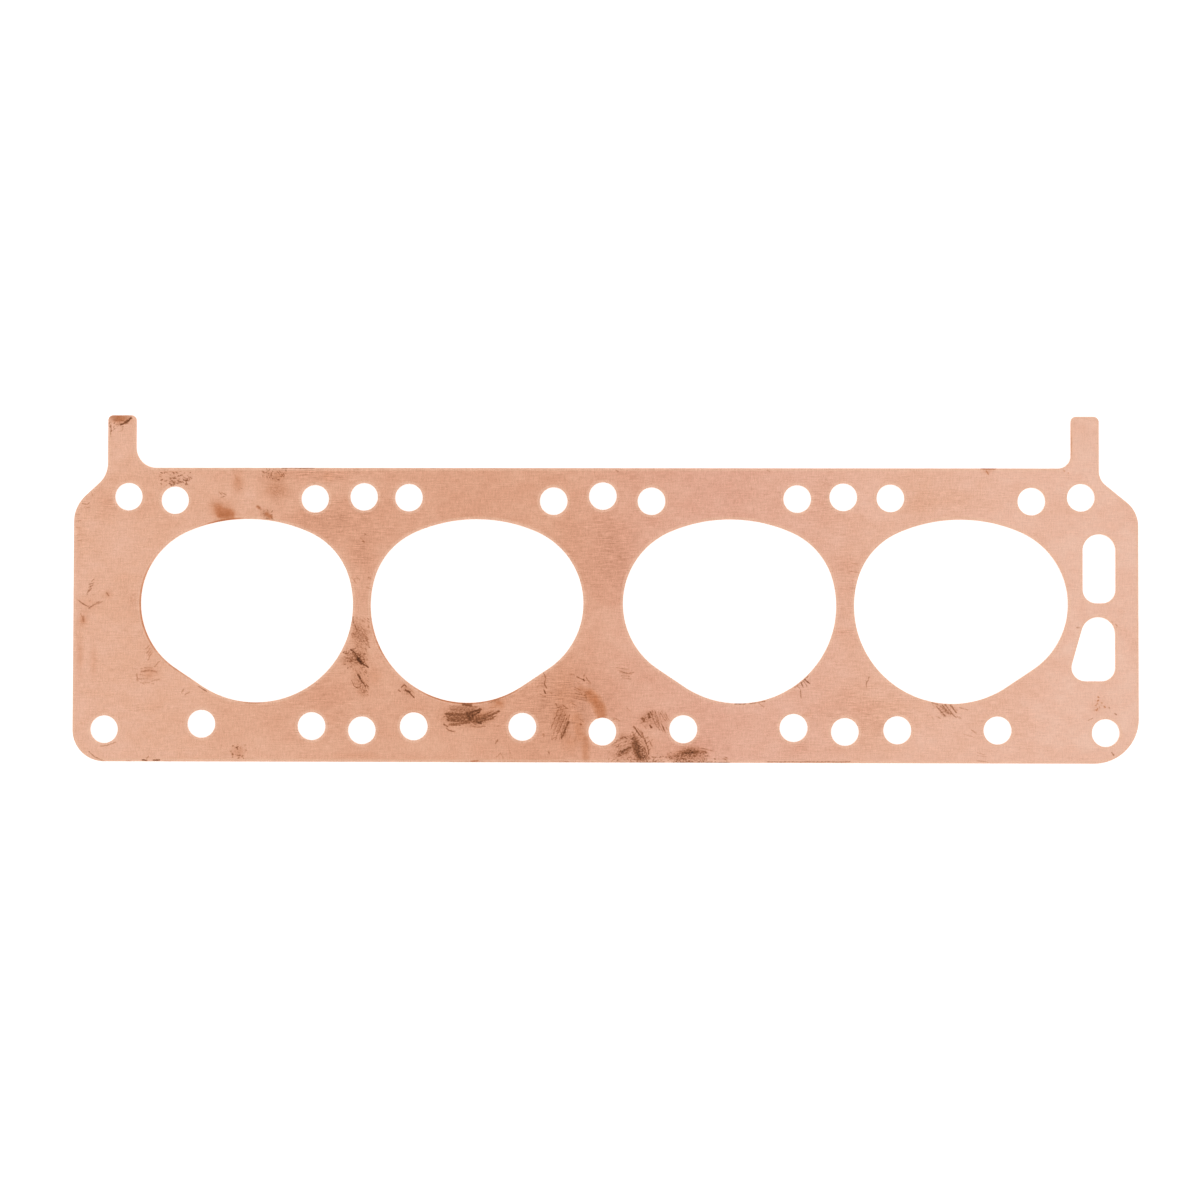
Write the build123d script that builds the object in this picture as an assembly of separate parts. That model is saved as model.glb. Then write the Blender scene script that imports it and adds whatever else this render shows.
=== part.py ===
from build123d import *

import os
from math import acos, atan2, cos, degrees, radians, sin, sqrt, tan

# Solid copper cylinder head gasket for a four-cylinder pushrod engine: one flat sheet,
# cut through in one piece. It has four cylinder openings in two pairs, ten head stud
# holes, eight pushrod holes, eight coolant holes, two coolant slots at one end and two
# locating tabs on the pushrod side.
#
# Frame: +X runs along the engine towards the slotted end, +Y across it towards the
# pushrod side and +Z up towards the cylinder head. The origin is on the block face, on
# the line of the cylinder centres, halfway between the two middle cylinders.
# Lengths are in millimetres and angles in degrees.

# Sheet
sheet_thickness = 1.1
edge_break = 0.12  # deburred corner round every edge of the head face

# Cylinder opening: the bore circle, a valve pocket on the side away from the other
# cylinder of the pair, a shoulder on the near side and a long crown arc over both
bore_diameter = 76.0
pocket_offset = 14.5  # pocket centre from the bore centre, along the engine
pocket_rise = 0.8  # pocket centre above the line of the cylinder centres
pocket_step = 7.4  # pocket radius is this much less than the bore circle's
shoulder_step = 9.7  # shoulder radius is this much less than the bore circle's
shoulder_heading = 16.0  # where the shoulder leaves the bore circle
crown_step = 20.9  # crown radius is this much more than the bore circle's

# Sheet left between and around the openings
pair_web = 6.9  # between the bore circles of a pair
middle_web = 29.6  # between the bore circles of the two middle cylinders
plain_end_margin = 26.4  # from the first opening to the end without slots
pushrod_side_margin = 15.7  # from the bore circles to the long edge with the tabs
coolant_side_margin = 23.1  # from the bore circles to the other long edge

# Body corners
plain_end_corner = 12.3
slot_end_corner = 17.4

# Locating tabs. Each stands on the pushrod-side edge beside a sloping shoulder, which
# is measured from that end of the body and down from the long edge.
plain_tab_width = 11.1
plain_tab_height = 20.6
plain_tab_setback = 13.15
plain_tab_inner_fillet = 8.0
plain_tab_outer_fillet = 10.5
plain_slope_drop = 15.1
plain_slope_angle = 42.9
plain_slope_corner = 13.9

slot_tab_width = 10.9
slot_tab_height = 20.2
slot_tab_setback = 15.2
slot_tab_inner_fillet = 5.0
slot_tab_outer_fillet = 7.2
slot_slope_drop = 16.8
slot_slope_angle = 39.2
slot_slope_corner = 11.9

tab_tip_corner = 2.0

# Coolant slots, one above the other between the last opening and the end
slot_bridge = 5.4  # sheet between the two slots
slot_bridge_drop = 1.5  # middle of that bridge below the line of the cylinder centres
slot_foot_corner = 5.3
upper_slot_web = 5.7  # between the last opening and the upper slot
upper_slot_width = 12.8
upper_slot_height = 26.9
upper_slot_margin = 8.8
lower_slot_head_radius = 6.6
lower_slot_foot_width = 17.0
lower_slot_height = 24.9
lower_slot_margin = 9.0

# Round holes
stud_hole_diameter = 10.8
pushrod_hole_diameter = 10.8
coolant_hole_diameter = 10.9

# Stud holes: the line each belongs to, its distance from that line along the engine,
# and its distance in from the long edge of its row
pushrod_side_studs = [
    ("plain end", 21.4, 11.3),
    ("first pair", 0.7, 11.3),
    ("middle", -0.2, 10.9),
    ("second pair", -0.7, 11.3),
    ("slot end", -22.2, 11.4),
]
coolant_side_studs = [
    ("plain end", 12.3, 12.5),
    ("first pair", 0.2, 12.3),
    ("middle", -0.2, 12.0),
    ("second pair", -0.1, 12.1),
    ("slot end", -12.8, 11.9),
]

# Pushrod and coolant holes: the cylinder each belongs to, its distance from that
# cylinder's centre along the engine, and its distance in from the long edge
pushrod_holes = [
    ("first", -31.9, 12.7),
    ("first", 23.0, 12.1),
    ("second", -23.2, 11.6),
    ("second", 33.4, 12.9),
    ("third", -34.0, 12.9),
    ("third", 22.8, 12.0),
    ("fourth", -23.8, 11.7),
    ("fourth", 31.0, 12.9),
]
coolant_holes = [
    ("first", -21.1, 14.7),
    ("first", 22.0, 13.9),
    ("second", -21.0, 13.9),
    ("second", 21.4, 13.8),
    ("third", -21.5, 13.0),
    ("third", 21.4, 13.6),
    ("fourth", -21.2, 12.8),
    ("fourth", 17.7, 12.8),
]

# Sizes that follow from those above
bore_radius = bore_diameter / 2
pocket_radius = bore_radius - pocket_step
shoulder_radius = bore_radius - shoulder_step
crown_radius = bore_radius + crown_step
opening_reach = pocket_offset + pocket_radius

pair_pitch = bore_diameter + pair_web
middle_pitch = bore_diameter + middle_web
cylinder_x = {
    "first": -middle_pitch / 2 - pair_pitch,
    "second": -middle_pitch / 2,
    "third": middle_pitch / 2,
    "fourth": middle_pitch / 2 + pair_pitch,
}

plain_end_x = cylinder_x["first"] - opening_reach - plain_end_margin
upper_slot_x = cylinder_x["fourth"] + opening_reach + upper_slot_web
slot_end_x = upper_slot_x + upper_slot_width + upper_slot_margin
pushrod_edge_y = bore_radius + pushrod_side_margin
coolant_edge_y = -bore_radius - coolant_side_margin

line_x = {
    "plain end": plain_end_x,
    "first pair": (cylinder_x["first"] + cylinder_x["second"]) / 2,
    "middle": (cylinder_x["second"] + cylinder_x["third"]) / 2,
    "second pair": (cylinder_x["third"] + cylinder_x["fourth"]) / 2,
    "slot end": slot_end_x,
}


def body_outline():
    """Outer edge of the sheet, with both tabs, as one face."""
    plain_tab_x = plain_end_x + plain_tab_setback
    slot_tab_x = slot_end_x - slot_tab_setback
    plain_slope_y = pushrod_edge_y - plain_slope_drop
    slot_slope_y = pushrod_edge_y - slot_slope_drop
    plain_slope_rise = plain_tab_setback * tan(radians(plain_slope_angle))
    slot_slope_rise = slot_tab_setback * tan(radians(slot_slope_angle))
    corners = [
        ((plain_end_x, coolant_edge_y), plain_end_corner),
        ((slot_end_x, coolant_edge_y), slot_end_corner),
        ((slot_end_x, slot_slope_y), slot_slope_corner),
        ((slot_tab_x, slot_slope_y + slot_slope_rise), slot_tab_outer_fillet),
        ((slot_tab_x, pushrod_edge_y + slot_tab_height), tab_tip_corner),
        ((slot_tab_x - slot_tab_width, pushrod_edge_y + slot_tab_height), tab_tip_corner),
        ((slot_tab_x - slot_tab_width, pushrod_edge_y), slot_tab_inner_fillet),
        ((plain_tab_x + plain_tab_width, pushrod_edge_y), plain_tab_inner_fillet),
        ((plain_tab_x + plain_tab_width, pushrod_edge_y + plain_tab_height), tab_tip_corner),
        ((plain_tab_x, pushrod_edge_y + plain_tab_height), tab_tip_corner),
        ((plain_tab_x, plain_slope_y + plain_slope_rise), plain_tab_outer_fillet),
        ((plain_end_x, plain_slope_y), plain_slope_corner),
    ]
    points = [point for point, radius in corners]
    radii = [radius for point, radius in corners]
    return make_face(FilletPolyline(*points, radius=radii, close=True))


def heading(start, end):
    """Direction from one point to another, in degrees anticlockwise from +X."""
    return degrees(atan2(end.Y - start.Y, end.X - start.X)) % 360


def at_heading(centre, angle, distance):
    """Point at a distance from a centre, along a heading in degrees."""
    return centre + distance * Vector(cos(radians(angle)), sin(radians(angle)))


def crown_centre_below(pocket_centre, shoulder_centre):
    """Centre of the crown arc that touches the pocket and the shoulder from outside.

    It lies where two circles meet: one round the pocket centre, one round the shoulder
    centre, each with the crown radius less that arc's own radius.
    """
    to_pocket = crown_radius - pocket_radius
    to_shoulder = crown_radius - shoulder_radius
    span = (shoulder_centre - pocket_centre).length
    along = (to_pocket**2 - to_shoulder**2 + span**2) / (2 * span)
    across = sqrt(to_pocket**2 - along**2)
    direction = heading(pocket_centre, shoulder_centre)
    foot = at_heading(pocket_centre, direction, along)
    return at_heading(foot, direction - 90, across)


def cylinder_opening():
    """Opening about the origin for a cylinder whose neighbour lies towards +X."""
    bore_centre = Vector(0, 0)
    pocket_centre = Vector(-pocket_offset, pocket_rise)
    shoulder_centre = at_heading(bore_centre, shoulder_heading, shoulder_step)
    crown_centre = crown_centre_below(pocket_centre, shoulder_centre)
    crown_start = heading(crown_centre, shoulder_centre)
    crown_end = heading(crown_centre, pocket_centre)
    # The flat touches the pocket and the bore circle at the same heading
    pocket_heading = heading(bore_centre, pocket_centre)
    pocket_distance = (pocket_centre - bore_centre).length
    flat_heading = pocket_heading + degrees(acos(pocket_step / pocket_distance))

    bore = CenterArc(bore_centre, bore_radius, flat_heading, 360 + shoulder_heading - flat_heading)
    shoulder = CenterArc(
        shoulder_centre, shoulder_radius, shoulder_heading, crown_start - shoulder_heading
    )
    crown = CenterArc(crown_centre, crown_radius, crown_start, crown_end - crown_start)
    pocket = CenterArc(pocket_centre, pocket_radius, crown_end, flat_heading - crown_end)
    flat = Line(pocket @ 1, bore @ 0)
    return make_face([bore, shoulder, crown, pocket, flat])


def cylinder_openings():
    """All four openings; the second of each pair is the mirror image of the first."""
    towards_plus_x = cylinder_opening()
    towards_minus_x = mirror(towards_plus_x, Plane.YZ)
    return [
        Pos(cylinder_x["first"], 0) * towards_plus_x,
        Pos(cylinder_x["second"], 0) * towards_minus_x,
        Pos(cylinder_x["third"], 0) * towards_plus_x,
        Pos(cylinder_x["fourth"], 0) * towards_minus_x,
    ]


def slot_through(circles):
    """Face of a slot, drawn taut round circles given as (x, y, radius)."""
    edges = [(Pos(x, y) * Circle(radius)).edge() for x, y, radius in circles]
    return make_hull(edges)


def coolant_slots():
    """The two coolant slots; the lower one leans away from the last opening."""
    upper_foot_y = -slot_bridge_drop + slot_bridge / 2
    upper_head_radius = upper_slot_width / 2
    upper_left_x = upper_slot_x + slot_foot_corner
    upper_right_x = upper_slot_x + upper_slot_width - slot_foot_corner
    upper = slot_through(
        [
            (upper_left_x, upper_foot_y + slot_foot_corner, slot_foot_corner),
            (upper_right_x, upper_foot_y + slot_foot_corner, slot_foot_corner),
            (
                upper_slot_x + upper_head_radius,
                upper_foot_y + upper_slot_height - upper_head_radius,
                upper_head_radius,
            ),
        ]
    )

    lower_head_y = -slot_bridge_drop - slot_bridge / 2
    lower_foot_y = lower_head_y - lower_slot_height
    lower_right_x = slot_end_x - lower_slot_margin
    lower_left_x = lower_right_x - lower_slot_foot_width
    lower = slot_through(
        [
            (lower_left_x + slot_foot_corner, lower_foot_y + slot_foot_corner, slot_foot_corner),
            (lower_right_x - slot_foot_corner, lower_foot_y + slot_foot_corner, slot_foot_corner),
            (
                lower_right_x - lower_slot_head_radius,
                lower_head_y - lower_slot_head_radius,
                lower_slot_head_radius,
            ),
        ]
    )
    return [upper, lower]


def hole_places(row, lines, edge_y, inward):
    """Places of a row of holes, set out from named lines and in from a long edge."""
    return [Pos(lines[line] + along, edge_y + inward * inset) for line, along, inset in row]


def round_holes():
    """Every stud, pushrod and coolant hole as a disc at its place."""
    stud_places = hole_places(pushrod_side_studs, line_x, pushrod_edge_y, -1)
    stud_places += hole_places(coolant_side_studs, line_x, coolant_edge_y, 1)
    pushrod_places = hole_places(pushrod_holes, cylinder_x, pushrod_edge_y, -1)
    coolant_places = hole_places(coolant_holes, cylinder_x, coolant_edge_y, 1)
    discs = [place * Circle(stud_hole_diameter / 2) for place in stud_places]
    discs += [place * Circle(pushrod_hole_diameter / 2) for place in pushrod_places]
    discs += [place * Circle(coolant_hole_diameter / 2) for place in coolant_places]
    return discs


def head_gasket():
    """The sheet with everything cut through it and its upper edges broken."""
    blank = body_outline()
    cut = blank - cylinder_openings() - coolant_slots() - round_holes()
    sheet = extrude(cut, sheet_thickness)
    head_face = sheet.faces().sort_by(Axis.Z)[-1]
    return chamfer(head_face.edges(), edge_break)


os.makedirs("parts", exist_ok=True)
export_step(head_gasket(), "parts/head_gasket.step")
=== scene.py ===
from math import cos, radians, sin

import bpy
import numpy as np
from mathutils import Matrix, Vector
from mathutils.geometry import delaunay_2d_cdt


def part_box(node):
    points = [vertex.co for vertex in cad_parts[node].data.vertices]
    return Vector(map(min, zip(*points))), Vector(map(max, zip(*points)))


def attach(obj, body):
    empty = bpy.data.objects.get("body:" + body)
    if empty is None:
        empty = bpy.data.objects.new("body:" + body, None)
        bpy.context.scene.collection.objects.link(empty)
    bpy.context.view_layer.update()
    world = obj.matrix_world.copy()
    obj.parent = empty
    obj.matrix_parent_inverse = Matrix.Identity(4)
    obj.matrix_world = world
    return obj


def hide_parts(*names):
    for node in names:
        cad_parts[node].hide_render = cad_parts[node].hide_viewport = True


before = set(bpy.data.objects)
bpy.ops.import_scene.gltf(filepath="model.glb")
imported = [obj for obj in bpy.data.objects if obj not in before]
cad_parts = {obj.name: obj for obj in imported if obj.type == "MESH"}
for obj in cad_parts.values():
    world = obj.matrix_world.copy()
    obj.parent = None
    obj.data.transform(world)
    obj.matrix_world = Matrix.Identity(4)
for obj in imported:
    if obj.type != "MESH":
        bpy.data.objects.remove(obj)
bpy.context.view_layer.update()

# ---------------------------------------------------------------------------------
# Outline of the sheet
# The gasket is one blank of soft copper with every opening cut through it. Its outer
# edge and its openings are arcs and straight lines that run into each other smoothly.
# ---------------------------------------------------------------------------------

MM = 0.001  # a millimetre, in metres
merge_decimals = 7  # corners that agree to this many decimals of a metre are one
lowest_layer = 0.01 * MM  # corners this near the lowest one are on the underside


def outline_chords(node):
    """Chords of the outer edge and of every opening, with the sheet on their left.

    They are the sides that only one triangle of the underside has. Its triangles face
    down, so their corners are taken in reverse to go round them as seen from above.
    """
    mesh = node.data
    places = np.empty(3 * len(mesh.vertices))
    corners = np.empty(3 * len(mesh.polygons), np.int64)
    mesh.vertices.foreach_get("co", places)
    mesh.polygons.foreach_get("vertices", corners)
    places = places.reshape(-1, 3).round(merge_decimals)
    places, merged = np.unique(places, axis=0, return_inverse=True)
    triangles = merged.ravel()[corners].reshape(-1, 3)
    low = places[:, 2] < places[:, 2].min() + lowest_layer
    underside = triangles[low[triangles].all(axis=1)]
    sides = np.concatenate([underside[:, [1, 0]], underside[:, [2, 1]], underside[:, [0, 2]]])
    key = sides @ (len(places), 1)
    alone = ~np.isin(key, sides @ (1, len(places)))
    start, end = sides[alone].T
    order = np.argsort(start)
    start, end = start[order], end[order]
    return places[start, :2], places[end, :2], np.searchsorted(start, end)


def arc_sweeps(direction, following):
    """Angle that the edge turns through over each chord, as if each were an arc's.

    Where two chords meet, the turn is half the sweep of one arc plus half that of the
    next, so the sweeps solve one set of linear equations.
    """
    turn = (direction[following] - direction + np.pi) % (2 * np.pi) - np.pi
    count = len(direction)
    halves = np.zeros((count, count))
    halves[np.arange(count), np.arange(count)] = 0.5
    halves[np.arange(count), following] = 0.5
    return np.linalg.lstsq(halves, turn, rcond=1e-6)[0]


outline_step = 0.8 * MM  # length of the facets round every edge
straight_turn = 0.03  # a chord with a smaller sweep than this, in radians, is a straight run
straight_sweep = 1e-6  # and is given this one, which keeps the formula from 0 / 0


def smooth_outline(node, step):
    """Points along every edge, the inward direction at each, and the point after each.

    A chord of length c and sweep s starts at an angle s/2 to its arc. The point a
    share t along the arc is c * sin(t*s/2) / sin(s/2) from its start, at an angle
    t*s/2 to the arc's first direction.
    """
    start, end, following = outline_chords(node)
    chord = end - start
    length = np.hypot(*chord.T)
    direction = np.arctan2(chord[:, 1], chord[:, 0])
    sweep = arc_sweeps(direction, following)
    sweep[np.abs(sweep) < straight_turn] = straight_sweep
    pieces = np.ceil(length / step).astype(int)
    first = np.cumsum(pieces) - pieces
    of = np.repeat(np.arange(len(pieces)), pieces)
    share = (np.arange(len(of)) - first[of]) / pieces[of]
    reach = length[of] * np.sin(share * sweep[of] / 2) / np.sin(sweep[of] / 2)
    angle = direction[of] - sweep[of] / 2 + share * sweep[of] / 2
    points = start[of] + reach[:, None] * np.stack([np.cos(angle), np.sin(angle)], 1)
    heading = direction[of] - sweep[of] / 2 + share * sweep[of]
    inward = np.stack([-np.sin(heading), np.cos(heading)], 1)
    after = np.arange(1, len(of) + 1)
    after[first + pieces - 1] = first[following]
    return points, inward, after


gasket_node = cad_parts["head_gasket"]
edge_points, edge_inward, edge_after = smooth_outline(gasket_node, outline_step)
batch = 4000  # points whose distances to all the edge points are worked out at a time


def depth_inside(points):
    """How far each point lies inside the nearest edge; below zero is off the sheet.

    It is the gap to the nearest edge point, along that point's inward direction.
    """
    depth = np.empty(len(points))
    square = (edge_points**2).sum(axis=1)
    for part in np.array_split(np.arange(len(points)), len(points) // batch + 1):
        nearest = (square - 2 * points[part] @ edge_points.T).argmin(axis=1)
        gap = points[part] - edge_points[nearest]
        depth[part] = (gap * edge_inward[nearest]).sum(axis=1)
    return depth


# ---------------------------------------------------------------------------------
# Marks of handling and storage
# Bare copper keeps the marks of hands, oil and damp: orange tarnish where it was wet,
# brown, soot-like smears where it was rubbed, and fine dark scratches and specks.
# ---------------------------------------------------------------------------------

uneven = np.random.default_rng(5)
hatch_stray = 0.25  # how far the ends of a hatched stroke stray, in mm
hatch_depths = 0.75, 1.15  # its depth, as a share of the one it is given


def hatch(count, depth, width, first, last):
    """Strokes side by side, in equal steps from the first line to the last, each a bit off."""
    share = np.linspace(0, 1, count)[:, None, None]
    lines = (1 - share) * first + share * last
    lines += uneven.normal(0, hatch_stray, lines.shape)
    depths = depth * uneven.uniform(*hatch_depths, count)
    return [(dark, width, *line) for dark, line in zip(depths, lines)]


# Each stroke: how dark it is, its width in mm, then its line in mm along X and Y
soot_strokes = [
    # Tip of the tab at the plain end
    (0.26, 2.2, (-193, 73.4), (-185.5, 73.4)),
    (0.4, 1, (-192, 72.4), (-188, 72.2)),
    (0.35, 0.8, (-191, 70.6), (-188.4, 71)),
    (0.8, 0.9, (-185.1, 73.2), (-186.7, 71.6), (-189, 70.6)),
    (0.55, 1.2, (-185.7, 72.8), (-187.4, 71.6)),
    (0.5, 0.6, (-188.2, 70.8), (-186.3, 71.2)),
    *hatch(3, 0.4, 0.5, [(-193.3, 71.6), (-192.5, 70)], [(-193.3, 68.1), (-192.9, 66.2)]),
    # Worm-like specks over the second hole
    (0.5, 0.6, (-169.2, 48.6), (-168.4, 48)),
    (0.65, 0.6, (-166.5, 48.4), (-165.4, 48.1)),
    (0.6, 0.6, (-163.9, 48.9), (-162.8, 48.8)),
    # Above the first opening
    (0.42, 0.5, (-150.4, 44.3), (-149.5, 43.2)),
    (0.42, 0.5, (-149.4, 44.2), (-147.6, 43.2)),
    (0.42, 0.5, (-149.6, 42.1), (-148.1, 42.5)),
    (0.3, 1.2, (-135.1, 38.5), (-133.9, 37.3)),
    (0.24, 1.2, (-132.6, 36.2), (-131.6, 35.6)),
    (0.4, 1.2, (-130, 35), (-129.4, 33.6)),
    (0.3, 0.8, (-132, 34), (-130.4, 33.8)),
    (0.6, 0.5, (-125.7, 53.6), (-113.2, 53.6)),
    (0.45, 0.5, (-133.5, 52.4), (-132, 51.7), (-130.4, 53.1)),
    (0.5, 0.6, (-128, 49.7), (-126.9, 48.9)),
    (0.4, 0.6, (5, 52.8), (5.8, 52.4)),
    (0.4, 0.6, (63.9, 52.9), (64.7, 52.5)),
    # Plain end, down its edge
    (0.38, 0.5, (-204, 39.8), (-202, 39.2), (-201.3, 39.9)),
    (0.3, 0.5, (-203.2, 38.2), (-200.9, 38.2)),
    (0.3, 0.5, (-200.5, 44.1), (-199.7, 42.5)),
    *hatch(5, 0.3, 0.5, [(-206.3, 35.5), (-204.7, 35.5)], [(-205.9, 25), (-204.3, 25.4)]),
    *hatch(6, 0.45, 0.5, [(-200.4, 9), (-198.7, 10)], [(-202.3, 3.6), (-201.3, 5.2)]),
    (0.45, 0.6, (-205.4, 1.9), (-203.4, 0.3), (-200.7, -1.3)),
    (0.5, 0.7, (-201.1, -1.4), (-199.9, -0.5)),
    (0.42, 0.7, (-199.9, -0.5), (-198, 0.7), (-197.2, 1.1)),
    (0.35, 0.5, (-197.6, 0.3), (-195.6, 1.5)),
    (0.42, 1.1, (-194.1, 4.6), (-193.5, 3.6)),
    (0.32, 1.2, (-203.4, -4.7), (-203.2, -6.3)),
    (0.35, 0.7, (-204.2, -3.6), (-203.8, -4.7)),
    # Plain end, beside and below the first opening
    *hatch(4, 0.42, 0.5, [(-178.6, -17.2), (-177.2, -15.6)], [(-178, -21.4), (-176, -18.8)]),
    (0.42, 0.5, (-175.2, -24.2), (-173.2, -21.9)),
    (0.36, 1, (-180.3, -26), (-177.1, -25.6), (-174.4, -26.2)),
    (0.32, 0.6, (-179.1, -24.6), (-176, -24.6)),
    (0.4, 0.5, (-182.2, -27), (-181.8, -29.3)),
    *hatch(3, 0.3, 0.5, [(-181, -27.6), (-178.7, -27.3)], [(-180.7, -30.3), (-177.1, -30.3)]),
    (0.35, 0.5, (-176.4, -29.8), (-173.2, -29)),
    (0.5, 0.6, (-157.9, -31.8), (-154.8, -33.8)),
    *hatch(2, 0.42, 0.6, [(-165, -34.5), (-163.4, -33.3)], [(-163.4, -34.9), (-161.8, -34.1)]),
    (0.35, 0.6, (-196.1, -55.2), (-193.3, -54.8), (-190.2, -53.7)),
    (0.4, 0.5, (-200.8, -57.2), (-198.4, -59.5), (-194.9, -61)),
    (0.4, 0.7, (-185.9, -60.9), (-184.4, -61)),
    (0.7, 0.8, (-179.7, -60.6), (-178.1, -60.7)),
    (0.7, 0.8, (-175.4, -60.7), (-173.1, -60.6)),
    (0.4, 0.6, (-178.1, -59.9), (-177.3, -59.1)),
    (0.35, 0.6, (-171.1, -61.1), (-167.2, -61.1)),
    # Web between the first and second openings, upper cluster
    (0.45, 0.7, (-97.7, -4.6), (-97.1, -8.1)),
    (0.55, 0.8, (-97.3, -7.3), (-96.1, -9.7), (-96.5, -11.2)),
    (0.5, 0.6, (-98.3, -11.2), (-97.7, -12.4)),
    *hatch(7, 0.42, 0.5, [(-94.7, -7.8), (-92.4, -10.6)], [(-94, -13.2), (-91, -16.8)]),
    *hatch(4, 0.34, 0.5, [(-97.4, -9.5), (-95, -12)], [(-97.6, -14), (-94.6, -18)]),
    # Its dark slash and the streaks round it
    (0.9, 0.8, (-98.5, -17.4), (-97, -18.5), (-95.7, -20.4), (-94.7, -21.8)),
    (1, 2, (-95.7, -20.8), (-94.2, -22.6)),
    (0.9, 0.7, (-94.5, -22.2), (-93, -23.3), (-91.6, -24.2)),
    (0.75, 0.5, (-93.4, -20.6), (-92.6, -22.6), (-91.8, -24.1)),
    (0.7, 0.5, (-98.1, -17.3), (-96.5, -16.9)),
    (0.6, 1, (-97.7, -18.6), (-96.1, -20.6)),
    *hatch(4, 0.5, 0.6, [(-101.2, -20), (-99.3, -21.4)], [(-97.5, -21), (-95, -22.6)]),
    (0.5, 0.6, (-95, -19.4), (-93.4, -20.6)),
    *hatch(3, 0.28, 0.5, [(-97.7, -22.9), (-95.9, -26.4)], [(-94.6, -23.6), (-93.4, -26.2)]),
    (0.85, 1.1, (-95.5, -27.2), (-94.7, -28.8)),
    (0.75, 0.6, (-94.6, -29.2), (-93.4, -30.7), (-92.6, -31.7)),
    (0.55, 0.5, (-98.1, -29.2), (-97.3, -31.5), (-95.7, -32.5), (-94.6, -31.7), (-94.4, -29.9)),
    (0.5, 0.5, (-93.8, -30.3), (-92.6, -32.3)),
    # Beside the second opening
    (0.55, 0.8, (-79.9, -33.1), (-79.1, -33.6)),
    (0.6, 0.8, (-78.5, -31.9), (-77.4, -30.9), (-76.6, -31.9)),
    (0.8, 1.2, (-77, -33.1), (-75.4, -33.8)),
    (0.65, 0.9, (-75.8, -33.8), (-73.7, -36)),
    (0.35, 0.5, (-75.1, -32.7), (-73.5, -34.2)),
    # Smear below the second opening: its body, its top and its dark middle
    *hatch(6, 0.68, 1.5, [(-60.8, -42.4), (-50.4, -42.4)], [(-60, -46), (-51.8, -45.8)]),
    *hatch(5, 0.5, 0.6, [(-59.8, -39.4), (-49, -39.4)], [(-59.4, -41.6), (-50.4, -41)]),
    (0.62, 1.8, (-54.4, -38.7), (-51.4, -38.9)),
    (0.5, 0.7, (-62.3, -43.6), (-60, -42.8)),
    (0.35, 0.5, (-62.9, -44.4), (-60.6, -44.2)),
    (0.5, 0.6, (-59, -46.9), (-55.5, -46.8)),
    (0.8, 1.5, (-52, -42), (-50, -41.3), (-47.8, -40.6)),
    (0.8, 2.4, (-52.8, -42.2), (-51.8, -44.4)),
    (0.6, 2.4, (-51.2, -42.4), (-50.2, -44.4)),
    (0.8, 1, (-50, -42.8), (-48, -41.4)),
    # Its arms to the right and its loose ends
    (0.6, 1.8, (-50.4, -45.3), (-47.2, -44.1), (-43.4, -42.7)),
    (0.6, 1.3, (-43.4, -42.7), (-40.6, -41.3)),
    *hatch(4, 0.5, 1.2, [(-49.6, -43.5), (-43.6, -41.8)], [(-49.4, -46), (-43, -44)]),
    (0.8, 1.2, (-48.8, -45.6), (-47.3, -45.9)),
    (0.45, 0.6, (-51.2, -46.9), (-48.8, -47.6), (-45.7, -47)),
    (0.5, 0.7, (-45.7, -44.7), (-41.8, -43.2)),
    *hatch(3, 0.35, 0.5, [(-44.5, -38.1), (-41.4, -37.3)], [(-44.9, -42), (-42.3, -40.8)]),
    (0.6, 0.8, (-61.9, -46.3), (-60.5, -47.2)),
    (0.5, 0.7, (-60.9, -47.8), (-59.9, -48.8), (-57.8, -49.2)),
    (0.4, 0.9, (-41.8, -53.7), (-41, -52.5)),
    (0.3, 0.5, (-41.4, -59.1), (-39.8, -57.5), (-38.7, -59.5)),
    (0.3, 0.5, (-36.3, -56.4), (-35.5, -59.5)),
    # Below the middle of the sheet: a crooked line, a stroke with a speck, and arcs
    (0.5, 0.5, (-23.4, -25.9), (-22.3, -28.2), (-22.9, -30.6), (-21.9, -32.3)),
    (0.8, 0.8, (-23, -32.9), (-22.5, -34.1)),
    (0.35, 0.5, (-24.6, -34.5), (-22.3, -35.6)),
    (0.35, 0.6, (-20.5, -33.9), (-19.9, -34.3)),
    (0.4, 0.5, (-13.3, -26.7), (-11.3, -26.9)),
    (0.6, 0.6, (-10.2, -27.8), (-7.4, -29)),
    (0.85, 0.9, (-7.6, -28.8), (-7.2, -29.2)),
    (0.5, 0.5, (-6.7, -27.8), (-5.9, -29), (-4.7, -30.4)),
    (0.35, 0.5, (-7.4, -26.7), (-7.3, -28.2)),
    *hatch(5, 0.42, 0.5, [(-11.2, -31.6), (-8.2, -33.1)], [(-11.3, -36.2), (-7, -37)]),
    (0.45, 0.6, (-7.1, -34.5), (-6.5, -36.4)),
    (0.5, 0.6, (-18.4, -38.2), (-17.8, -39.7), (-16.4, -39.5)),
    (0.5, 0.6, (-15.6, -38.8), (-14.3, -39.9)),
    (0.45, 0.5, (-16.4, -40.5), (-13.7, -40.1)),
    (0.35, 0.5, (-12.1, -38), (-10.2, -39.3)),
    # Brush strokes between the two holes there
    *hatch(6, 0.5, 0.6, [(-17, -40.6), (-19.5, -47.6)], [(-12.8, -43), (-15.6, -50.6)]),
    *hatch(3, 0.4, 0.5, [(-17.4, -45.4), (-19.6, -51.6)], [(-15, -46.6), (-16.8, -52)]),
    (0.65, 1, (-13.3, -45.4), (-14.9, -48.9), (-16.1, -51.8)),
    (0.4, 0.5, (-19.9, -52.4), (-18, -50.9)),
    (0.45, 0.9, (-8.8, -46), (-8.4, -46.4)),
    (0.35, 0.8, (-23.2, -50.1), (-22.9, -50.9)),
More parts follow.
